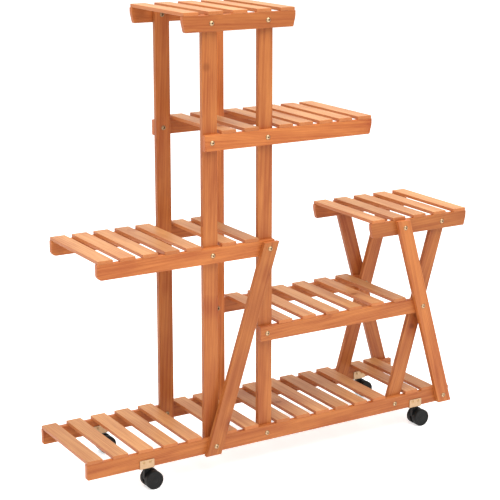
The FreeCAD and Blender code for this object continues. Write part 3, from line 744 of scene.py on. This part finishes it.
@dataclass(frozen=True)
class Layout:
    """Sizes of the stand in millimetres; stations count along X from the base's left end."""

    board_width: float = 35.0
    board_thickness: float = 11.0
    rail_height: float = 34.0
    slat_thickness: float = 7.5
    depth: float = 240.0
    edge_radius: float = 0.8
    base_length: float = 945.0
    tower_start: float = 284.5
    post_spacing: float = 135.5
    wing_length: float = 422.0
    panel_length: float = 270.0
    stool_shift: float = 8.5
    leg_foot_run: float = 67.0
    clearance: float = 50.0
    brad_spacing: float = 17.0
    tops: dict[str, float] = field(default_factory=lambda: {
        "base": 91.5, "lower_shelf": 322.0, "middle_shelf": 515.5, "upper_shelf": 757.0,
        "top_shelf": 1005.0, "stool": 515.5})

    @property
    def post_left(self) -> float:
        """Station of the left posts' middle."""
        return self.tower_start + self.board_width / 2

    @property
    def post_right(self) -> float:
        """Station of the right posts' middle."""
        return self.post_left + self.post_spacing

    @property
    def tower_end(self) -> float:
        """Station of the right posts' right edge."""
        return self.post_right + self.board_width / 2

    def bolt_height(self, shelf: str) -> float:
        """Height of the bolts in the rails of a shelf."""
        return self.tops[shelf] - self.slat_thickness - self.rail_height / 2

    @property
    def leg_slope(self) -> float:
        """Lean of the stool's legs, along over up."""
        return self.leg_foot_run / (self.bolt_height("lower_shelf") - self.bolt_height("base"))

    @property
    def leg_half(self) -> float:
        """Half of a leg, measured along X."""
        return self.board_width / 2 * math.hypot(1, self.leg_slope)

    @property
    def crossing(self) -> float:
        """Station of the bolt where the stool's legs cross."""
        return (self.base_length - self.leg_foot_run - self.leg_half
                - self.leg_slope * self.rail_height / 2)

    @property
    def stool_start(self) -> float:
        """Station of the stool's left end."""
        return self.crossing - self.stool_shift - self.panel_length / 2

    @property
    def brace_lean(self) -> float:
        """Lean of the diagonal brace in degrees."""
        rise = self.bolt_height("middle_shelf") - self.bolt_height("base")
        return math.degrees(math.atan2(self.post_spacing, rise))

    def x(self, station: float) -> float:
        """X of a station, in metres."""
        return (station - (self.stool_start + self.panel_length) / 2) * MM

    def rows(self) -> dict[str, list[Row]]:
        """Lay out the slats.

        Returns:
            Every row of slats, by shelf.
        """
        inner_foot = (self.crossing - self.leg_foot_run
                      + self.leg_slope * (self.rail_height + self.slat_thickness) / 2)
        between = Row(self.tower_start + self.board_width + 5.0,
                      self.tower_end - self.board_width - 5.0, 2)
        crown = (self.post_left + self.post_right - self.panel_length) / 2
        middle_start = self.tower_end - self.wing_length
        upper_end = self.tower_start + self.wing_length
        return {
            "base": [Row(1.0, self.tower_start - 12.5, 5), between,
                     Row(self.tower_end + 7.0, inner_foot - self.leg_half - 15.5, 6),
                     Row(inner_foot + self.leg_half + 6.0, self.base_length - 44.5, 2)],
            "lower_shelf": [Row(self.tower_end + 12.0, self.crossing - 42.0, 6)],
            "middle_shelf": [Row(middle_start + 1.5, self.tower_start - 10.5, 5), between],
            "upper_shelf": [between, Row(self.tower_end + 10.5, upper_end - 1.5, 5)],
            "top_shelf": [Row(crown + 2.0, crown + self.panel_length - 2.0, 5)],
            "stool": [Row(self.stool_start + 2.0, self.stool_start + self.panel_length - 2.0, 5)],
        }

    def pitch(self, row: Row) -> float:
        """Distance from one slat of a row to the next, in millimetres."""
        return (row.end - row.start - self.board_width) / (row.count - 1)

    def bolts(self) -> list[Bolt]:
        """Lay out the frame's bolts.

        Returns:
            Every bolt, in front and behind.
        """
        posts = (self.post_left, self.post_right)
        head_run = self.leg_slope * (self.tops["stool"] - self.tops["lower_shelf"])
        feet = (self.crossing - self.leg_foot_run, self.crossing + self.leg_foot_run)
        heads = (self.crossing - head_run, self.crossing + head_run)
        stations = {"base": posts + feet, "lower_shelf": (self.post_right, self.crossing),
                    "middle_shelf": posts, "upper_shelf": posts, "top_shelf": posts,
                    "stool": heads}
        braced = (("base", self.post_left), ("middle_shelf", self.post_right))
        outer = (feet[1], heads[0], self.crossing)
        return [Bolt(station, self.bolt_height(shelf), side,
                     1 if station in outer or (side < 0 and (shelf, station) in braced) else 0,
                     3 if station == self.crossing
                     or (side < 0 and (shelf, station) in braced) else 2)
                for shelf, places in stations.items() for station in places for side in (-1, 1)]


# ---- sub-assemblies ------------------------------------------------------------------------------
@dataclass
class Boards:
    """The rails, posts, legs and brace: the CAD boards, each with grain of its own."""

    layout: Layout
    tones_and_painted_light: dict[str, float] = field(default_factory=lambda: {     # boards paler or darker in tone; the back right post's lift is painted light
        "diagonal_brace": 0.84, "post_front_right": 0.93, "post_back_left": 0.92,
        # the back right post is lifted to stand as bright as the front posts, though it is in shade
        # behind them: painted light
        "post_back_right": 1.35, "top_shelf_rail_front": 0.93, "stool_rail_front": 0.90,
        "stool_leg_front_inner": 0.92, "stool_leg_front_outer": 1.05,
        "middle_shelf_rail_front": 1.13, "upper_shelf_rail_front": 1.15})
    smudges: dict[str, tuple[float, float, float]] = field(default_factory=lambda: {
        "post_front_left": (-0.196, -0.109, 0.890)})

    def leans(self) -> dict[str, float | None]:
        """Name every board and how it stands.

        Returns:
            The lean of each from upright in degrees, or None for a rail.
        """
        lean = math.degrees(math.atan(self.layout.leg_slope))
        found: dict[str, float | None] = {
            f"{shelf}_rail_{face}": None
            for shelf in self.layout.tops for face in ("front", "back")}
        found |= {f"post_{face}_{hand}": 0.0
                  for face in ("front", "back") for hand in ("left", "right")}
        found |= {f"stool_leg_{face}_outer": -lean for face in ("front", "back")}
        found |= {f"stool_leg_{face}_inner": lean for face in ("front", "back")}
        found["diagonal_brace"] = self.layout.brace_lean
        return found

    def build(self) -> None:
        """Dress every board."""
        for number, (node, lean) in enumerate(self.leans().items()):
            low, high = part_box(node)
            middle = tuple((low[axis] + high[axis]) / 2 for axis in range(3))
            finish = StainedFir(
                f"stained_fir_{node}", Grain.ALONG if lean is None else Grain.UPWARDS,
                seed=11 + 7 * number, lean=lean or 0.0, middle=middle,
                tone=self.tones_and_painted_light.get(node, 1.0), smudge=self.smudges.get(node))
            dress(node, finish.material())


@dataclass
class Slats:
    """The slats of every shelf, laid in rows by a geometry tree."""

    layout: Layout

    def build(self) -> None:
        """Lay the slats, one piece for each shelf."""
        # slat tops paler than the boards: partly their own wood, partly painted light; long edges
        # get painted shade
        finish = StainedFir("stained_fir_slats", Grain.ACROSS, shift_attribute="board_shift",
                            early="#D79E65", late="#AD6A3C", end_grain_and_edge_shade="#C06B37",
                            knot="#93501F", shades_long_edges=True).material()
        tree = slat_tree()
        layout = self.layout
        for number, (shelf, rows) in enumerate(layout.rows().items()):
            shape = bmesh.new()
            for place, row in enumerate(rows):
                mesh = tree.run(bpy.data.meshes.new(f"{shelf}_row"), {
                    "Width": layout.board_width * MM, "Length": layout.depth * MM,
                    "Thickness": layout.slat_thickness * MM,
                    "Rounding": layout.edge_radius * MM, "Count": row.count,
                    "First": layout.x(row.start), "Pitch": layout.pitch(row) * MM,
                    "Top": layout.tops[shelf] * MM, "Seed": 10 * number + place,
                    "Finish": finish})
                shape.from_mesh(mesh)
            planed = bpy.data.meshes.new(f"{shelf}_slats_planed")
            shape.to_mesh(planed)
            shape.free()
            planed.materials.append(finish)
            piece = show(planed, f"{shelf}_slats_planed")
            stand_for(piece, (f"{shelf}_slats",), "root")


def polish(mesh: Mesh, share: Callable[[float, float], float]) -> Mesh:
    """Store how much painted shade a turned piece takes, as an attribute that its finish reads.

    Args:
        mesh: the mesh, turned about Z, in metres.
        share: from 0, full painted shade, to 1, none, at a radius and a height in millimetres.

    Returns:
        The same mesh.
    """
    layer = mesh.attributes.new("polish", "FLOAT", "POINT")
    layer.data.foreach_set("value", [
        share(math.hypot(v.co.x, v.co.y) / MM, v.co.z / MM) for v in mesh.vertices])
    return mesh


@dataclass
class Fasteners:
    """Frame bolts, sleeve nuts, bracket screws and nails, set by a geometry tree."""

    layout: Layout
    bolt_radius: float = 3.0
    head_radius: float = 5.5
    head_height: float = 2.8
    head_rim: float = 0.28
    socket: float = 1.5               # half of the hexagon socket across its flats
    pitch: float = 1.0
    thread: float = 6.0               # length that shows it
    setback: float = 3.0              # bolt's tip below its nut's outer face
    flange_radius: float = 5.3
    flange_thickness: float = 1.0
    sleeve_radius: float = 4.0
    sleeve_length: float = 8.5
    caster_stations: tuple[float, float] = (138.0, 846.5)
    screw_spacing: float = 15.0
    screw_rise: float = 12.8
    bracket_thickness: float = 2.0

    def bolt(self, boards: int) -> Mesh:
        """Turn a button-headed bolt with a hexagon socket.

        Args:
            boards: how many boards it passes through.

        Returns:
            The bolt, its head's underside at the origin.
        """
        length = boards * self.layout.board_thickness + self.flange_thickness - self.setback
        dome = [(self.socket + (self.head_radius - self.socket) * step / 8,
                 -self.head_rim - (self.head_height - self.head_rim)
                 * math.cos(math.pi / 2 * step / 8)) for step in range(9)]
        profile = [(0.0, -1.2), (self.socket, -1.2)] + dome
        profile += [(self.head_radius, 0.0), (self.bolt_radius, 0.0)]
        for turn in range(int(self.thread / self.pitch)):
            foot = length - 0.5 - self.thread + self.pitch * turn
            profile += [(self.bolt_radius, foot),
                        (self.bolt_radius - 0.35, foot + self.pitch / 2)]
        profile += [(self.bolt_radius, length - 0.6), (self.bolt_radius - 0.6, length),
                    (0.0, length)]
        mesh = lathe(f"bolt_{boards}", profile, 48, flats={1: 6, 2: 6})
        # painted shade in the hexagon socket and towards the head's rim, where it meets the wood
        return polish(mesh, lambda radius, height: (
            0.0 if radius < self.socket * 1.3 and -2.9 < height < -1.0
            else min(1.0, max(0.15, (self.head_radius - radius) / 1.3))))

    def nut(self) -> Mesh:
        """Turn a flanged sleeve nut with a hexagon mouth.

        Returns:
            The nut, its flange's underside at the origin.
        """
        bore, flange, high = self.bolt_radius + 0.05, self.flange_radius, self.flange_thickness
        mesh = lathe("nut", [
            (bore, -self.sleeve_length), (self.sleeve_radius, -self.sleeve_length),
            (self.sleeve_radius, 0.0), (flange, 0.0), (flange, high - 0.55),
            (flange - 0.15, high - 0.25), (flange - 0.6, high), (bore + 0.1, high),
            (bore, high - 0.2), (bore, -1.8)], 48, flats={7: 6, 8: 6}, closed=True)
        # painted shade over the whole nut, which stands in shade inside the frame, darkest in its
        # bore and at its flange's rim
        return polish(mesh, lambda radius, height: (
            0.0 if radius < bore + 0.05 or radius > flange - 0.1 else 0.6))

    def screw(self) -> Mesh:
        """Turn a pan-headed bracket screw with a cross recess.

        Returns:
            The screw, its head's underside at the origin.
        """
        head, high, shank, reach = 2.8, 1.4, 1.5, 1.7
        profile = [(0.0, -0.6), (reach - 0.15, -0.6), (reach, -high)]
        profile += [(reach + (head - reach) * step / 5,
                     -0.35 - (high - 0.35) * math.cos(math.pi / 2 * step / 5))
                    for step in range(1, 6)]
        profile += [(head, 0.0), (shank, 0.0), (shank, 8.6), (0.0, 10.0)]
        return lathe("bracket_screw", profile, 48, flats={1: CROSS, 2: CROSS})

    def nail(self) -> Mesh:
        """A driven nail, a hair proud of the slat; its top is at the origin."""
        return lathe("nail", [(0.0, 0.06), (0.55, 0.05), (0.8, -0.1), (0.8, -17.0), (0.0, -18.0)],
                     8)

    def set_copies(self, tree: PieceTree, name: str, shape: Mesh,
                   places: list[tuple[tuple[float, float, float], float]], node: str,
                   finish: Material, spin: float = 0.0) -> None:
        """Set copies of a fastener in place of a CAD node.

        Args:
            tree: the tree of the fasteners.
            name: the piece's name.
            shape: the mesh of one fastener.
            places: position in metres and side, -1 in front, 1 behind, 0 upright, of each copy.
            node: the CAD node that it stands for.
            finish: the material.
            spin: the largest turn of a copy about its own axis, in radians.
        """
        points = bpy.data.meshes.new(f"{name}_points")
        points.from_pydata([place for place, side in places], [], [])
        facing = points.attributes.new("facing", "FLOAT", "POINT")
        facing.data.foreach_set("value", [float(side) for place, side in places])
        master = show(shape, f"{name}_master")
        mesh = tree.run(points, {"Fastener": master, "Spin": spin, "Seed": len(places),
                                 "Finish": finish})
        bpy.data.objects.remove(master)
        stand_for(show(mesh, name), (node,), "root")

    def on_bolts(self, bolts: list[Bolt], past_boards: bool = False
                 ) -> list[tuple[tuple[float, float, float], float]]:
        """Places on the bolts' lines.

        Args:
            bolts: the bolts.
            past_boards: whether they are on the far side of the boards, not under the heads.

        Returns:
            A position in metres and a side for each bolt.
        """
        layout, found = self.layout, []
        for bolt in bolts:
            depth = bolt.boards * layout.board_thickness if past_boards else 0.0
            across = layout.depth / 2 + bolt.outside * layout.board_thickness - depth
            found.append(((layout.x(bolt.station), bolt.side * across * MM, bolt.height * MM),
                          bolt.side))
        return found

    def build(self) -> None:
        """Set every fastener."""
        layout = self.layout
        tree = fastener_tree()
        # its darker colour is painted shade on the bolts' heads and on the nuts
        zinc = PlatedSteel("yellow_zinc_plated_steel", "#C8A886", "#AC8D69", (0.24, 0.36),
                           painted_shade="#5A4A30").material()
        bolts = layout.bolts()
        for name, boards in (("short", 2), ("long", 3)):
            self.set_copies(tree, f"{name}_button_bolts", self.bolt(boards),
                            self.on_bolts([bolt for bolt in bolts if bolt.boards == boards]),
                            f"{name}_frame_bolts", zinc, 1.0)
        self.set_copies(tree, "flanged_sleeve_nuts", self.nut(),
                        self.on_bolts(bolts, past_boards=True), "frame_nuts",
                        zinc, 1.0)

        faces = (-layout.depth / 2, layout.depth / 2 - layout.board_thickness)
        screws = [((layout.x(station + across * self.screw_spacing / 2),
                    (face - self.bracket_thickness) * MM,
                    (layout.clearance + self.screw_rise) * MM), -1)
                  for face in faces for station in self.caster_stations for across in (-1, 1)]
        brass = PlatedSteel("yellow_zinc_plated_screw_steel", "#C6A57A", "#A88A60", (0.3, 0.45))
        self.set_copies(tree, "pan_head_screws", self.screw(), screws, "bracket_screws",
                        brass.material(), 0.7)

        reach = (layout.depth - layout.board_thickness) / 2
        nails = [((layout.x(row.start + number * layout.pitch(row) + layout.board_width / 2
                            + across * layout.brad_spacing / 2), side * reach * MM,
                   layout.tops[shelf] * MM), 0)
                 for shelf, rows in layout.rows().items() for row in rows
                 for number in range(row.count) for across in (-1, 1) for side in (-1, 1)]
        steel = PlatedSteel("stained_over_nail_steel", "#A8774F", "#8E5F3A", (0.45, 0.6))
        self.set_copies(tree, "slat_nails", self.nail(), nails, "slat_brads",
                        steel.material())


@dataclass
class Casters:
    """Four twin-wheel casters: pressed brackets, moulded housings and turned wheels."""

    corners: tuple[str, ...] = ("front_left", "front_right", "back_left", "back_right")

    def wheel_profile(self) -> Profile:
        """Draw a wheel from its inner face outwards.

        Returns:
            Its hub, hollow, tread, lip and dished disc.
        """
        return [(2.56, 0.0), (5.0, 0.0), (5.0, 7.75), (17.0, 7.75), (17.0, 0.3), (17.3, 0.0),
                (18.8, 0.0), (19.5, 0.25), (19.88, 0.8), (20.0, 1.6), (20.0, 10.7), (19.85, 11.5),
                (19.4, 12.1), (18.7, 12.42), (18.0, 12.5), (17.75, 12.4), (17.5, 12.05),
                (17.3, 11.7), (12.4, 11.62), (12.15, 11.4), (11.5, 11.4), (11.25, 11.62),
                (6.4, 11.62), (6.1, 11.85), (5.4, 12.05), (0.0, 12.15), (0.0, 9.3), (2.56, 9.3)]

    def wheel(self, corner: str, name: str, side: int, finish: Material) -> None:
        """Make one wheel.

        Args:
            corner: the caster's name.
            name: near or far.
            side: -1 for the wheel in front of its housing, 1 for the one behind.
            finish: the material.
        """
        node = f"{corner}_{name}_wheel"
        low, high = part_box(node)
        axle = Vector(((low[0] + high[0]) / 2, 0.0, (low[2] + high[2]) / 2))
        axle.y = high[1] if side < 0 else low[1]
        mesh = lathe(node, self.wheel_profile(), 72, closed=True)
        mesh.transform(Euler((math.radians(-90 * side), 0.0, 0.0)).to_matrix().to_4x4())
        for vertex in mesh.vertices:
            vertex.co += axle
        mesh.materials.append(finish)
        stand_for(show(mesh, f"{node}_moulded"), (node,), f"{corner}_{name}_wheel_turning")

    def build(self) -> None:
        """Dress the casters' CAD pieces and make their wheels."""
        finishes = {
            "bracket": PlatedSteel("pale_brass_plated_sheet_steel", "#BC9E7E", "#AE906F",
                                   (0.34, 0.5), cloud_size=3.5),
            "stem": PlatedSteel("turned_stem_steel", "#BDBDBD", "#9E9E9E", (0.26, 0.4)),
            "axle": PlatedSteel("drawn_axle_steel", "#B8B8B8", "#9A9A9A", (0.26, 0.4)),
            "housing": MouldedNylon("moulded_black_nylon_housing", "#101010", "#171716",
                                    (0.40, 0.52)),
        }
        for kind, finish in finishes.items():
            material = finish.material()
            for corner in self.corners:
                dress(f"{corner}_{kind}", material)
        tyre = MouldedNylon("moulded_black_nylon_wheel", "#0E0E0D", "#151514", (0.42, 0.56))
        tyre_material = tyre.material()
        for corner in self.corners:
            for name, side in (("near", -1), ("far", 1)):
                self.wheel(corner, name, side, tyre_material)


# ---- the studio ----------------------------------------------------------------------------------
@dataclass
class PhotographCamera:
    """The photograph's view, with little shift so that the other views keep the stand in frame."""

    place: tuple[float, float, float] = (-1.6650, -2.7299, 1.2916)
    yaw: float = 30.981               # degrees to the right of +Y
    pitch: float = 12.773             # degrees below the horizon
    focal_pixels: float = 1470.7
    picture_pixels: float = 500.0
    shift: float = -0.10

    def build(self) -> None:
        """Make the camera and look through it."""
        data = bpy.data.cameras.new("photograph_view")
        data.sensor_width = 36.0
        data.lens = self.focal_pixels * data.sensor_width / self.picture_pixels
        data.shift_y = self.shift
        camera = bpy.data.objects.new("photograph_view", data)
        camera.location = self.place
        camera.rotation_euler = (math.radians(90 - self.pitch), 0.0, math.radians(-self.yaw))
        bpy.context.scene.collection.objects.link(camera)
        bpy.context.scene.camera = camera


@dataclass
class Studio:
    """A white sweep under plain soft light from above and in front."""

    floor_size: float = 60.0
    ambient: float = 0.64
    glow: float = 0.60                # of the floor where it is seen, which makes it white
    lamps: tuple[tuple[str, tuple[float, float, float], float, float], ...] = (
        ("overhead", (-0.3, -0.6, 3.4), 5.0, 195.0), ("front_fill", (-1.6, -3.2, 1.5), 2.2, 2.0))

    def seen(self, tree: Tree) -> Node:
        """Tell the rays that show a surface from those that light one.

        Args:
            tree: the tree of a material or of the world.

        Returns:
            1 for a ray from the camera, a gloss or a transmission, and 0 for any other.
        """
        rays = add(tree, "ShaderNodeLightPath").outputs
        either = add(tree, MATH, {
            0: rays["Is Camera Ray"], 1: rays["Is Glossy Ray"]}, operation="MAXIMUM")
        return add(tree, MATH, {0: either, 1: rays["Is Transmission Ray"]}, operation="MAXIMUM")

    def build_world(self) -> None:
        """A world that is white where it is seen and plainer where it lights."""
        world = bpy.data.worlds.new("white_studio")
        world.use_nodes = True
        tree = world.node_tree
        tree.nodes.clear()
        white = (1.0, 1.0, 1.0, 1.0)
        lights = add(tree, "ShaderNodeBackground", {"Color": white, "Strength": self.ambient})
        shows = add(tree, "ShaderNodeBackground", {"Color": white, "Strength": 1.0})
        mixed = add(tree, "ShaderNodeMixShader", {0: self.seen(tree), 1: lights, 2: shows})
        add(tree, "ShaderNodeOutputWorld", {"Surface": mixed})
        bpy.context.scene.world = world

    def build_floor(self) -> None:
        """A pale floor that keeps the stand's shadow."""
        half = self.floor_size / 2
        mesh = bpy.data.meshes.new("floor")
        mesh.from_pydata([(-half, -half, 0), (half, -half, 0), (half, half, 0), (-half, half, 0)],
                         [], [(0, 1, 2, 3)])
        material, tree, shader = new_material("white_sweep_paper")
        shader.inputs["Base Color"].default_value = linear("#F3F3F2")
        shader.inputs["Roughness"].default_value = 0.9
        glow = add(tree, MATH, {0: self.seen(tree), 1: self.glow}, operation="MULTIPLY")
        tree.links.new(glow.outputs[0], shader.inputs["Emission Strength"])
        shader.inputs["Emission Color"].default_value = (1.0, 1.0, 1.0, 1.0)
        mesh.materials.append(material)
        show(mesh, "floor")

    def build(self) -> None:
        """Build the world, the floor and the lamps."""
        self.build_world()
        self.build_floor()
        target = Vector((0.0, 0.0, 0.5))
        for name, place, size, power in self.lamps:
            data = bpy.data.lights.new(name, "AREA")
            data.shape, data.size, data.energy = "DISK", size, power
            lamp = bpy.data.objects.new(name, data)
            lamp.location = place
            lamp.rotation_euler = (target - Vector(place)).to_track_quat("-Z", "Y").to_euler()
            bpy.context.scene.collection.objects.link(lamp)


def main() -> None:
    """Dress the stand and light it."""
    logging.basicConfig(level=logging.INFO, format="%(message)s")
    bpy.context.scene.view_settings.view_transform = "Standard"
    layout = Layout()
    for part in (PhotographCamera(), Studio(), Boards(layout), Slats(layout), Fasteners(layout),
                 Casters()):
        LOG.info("building %s", type(part).__name__)
        part.build()


if __name__ == "__main__":
    main()
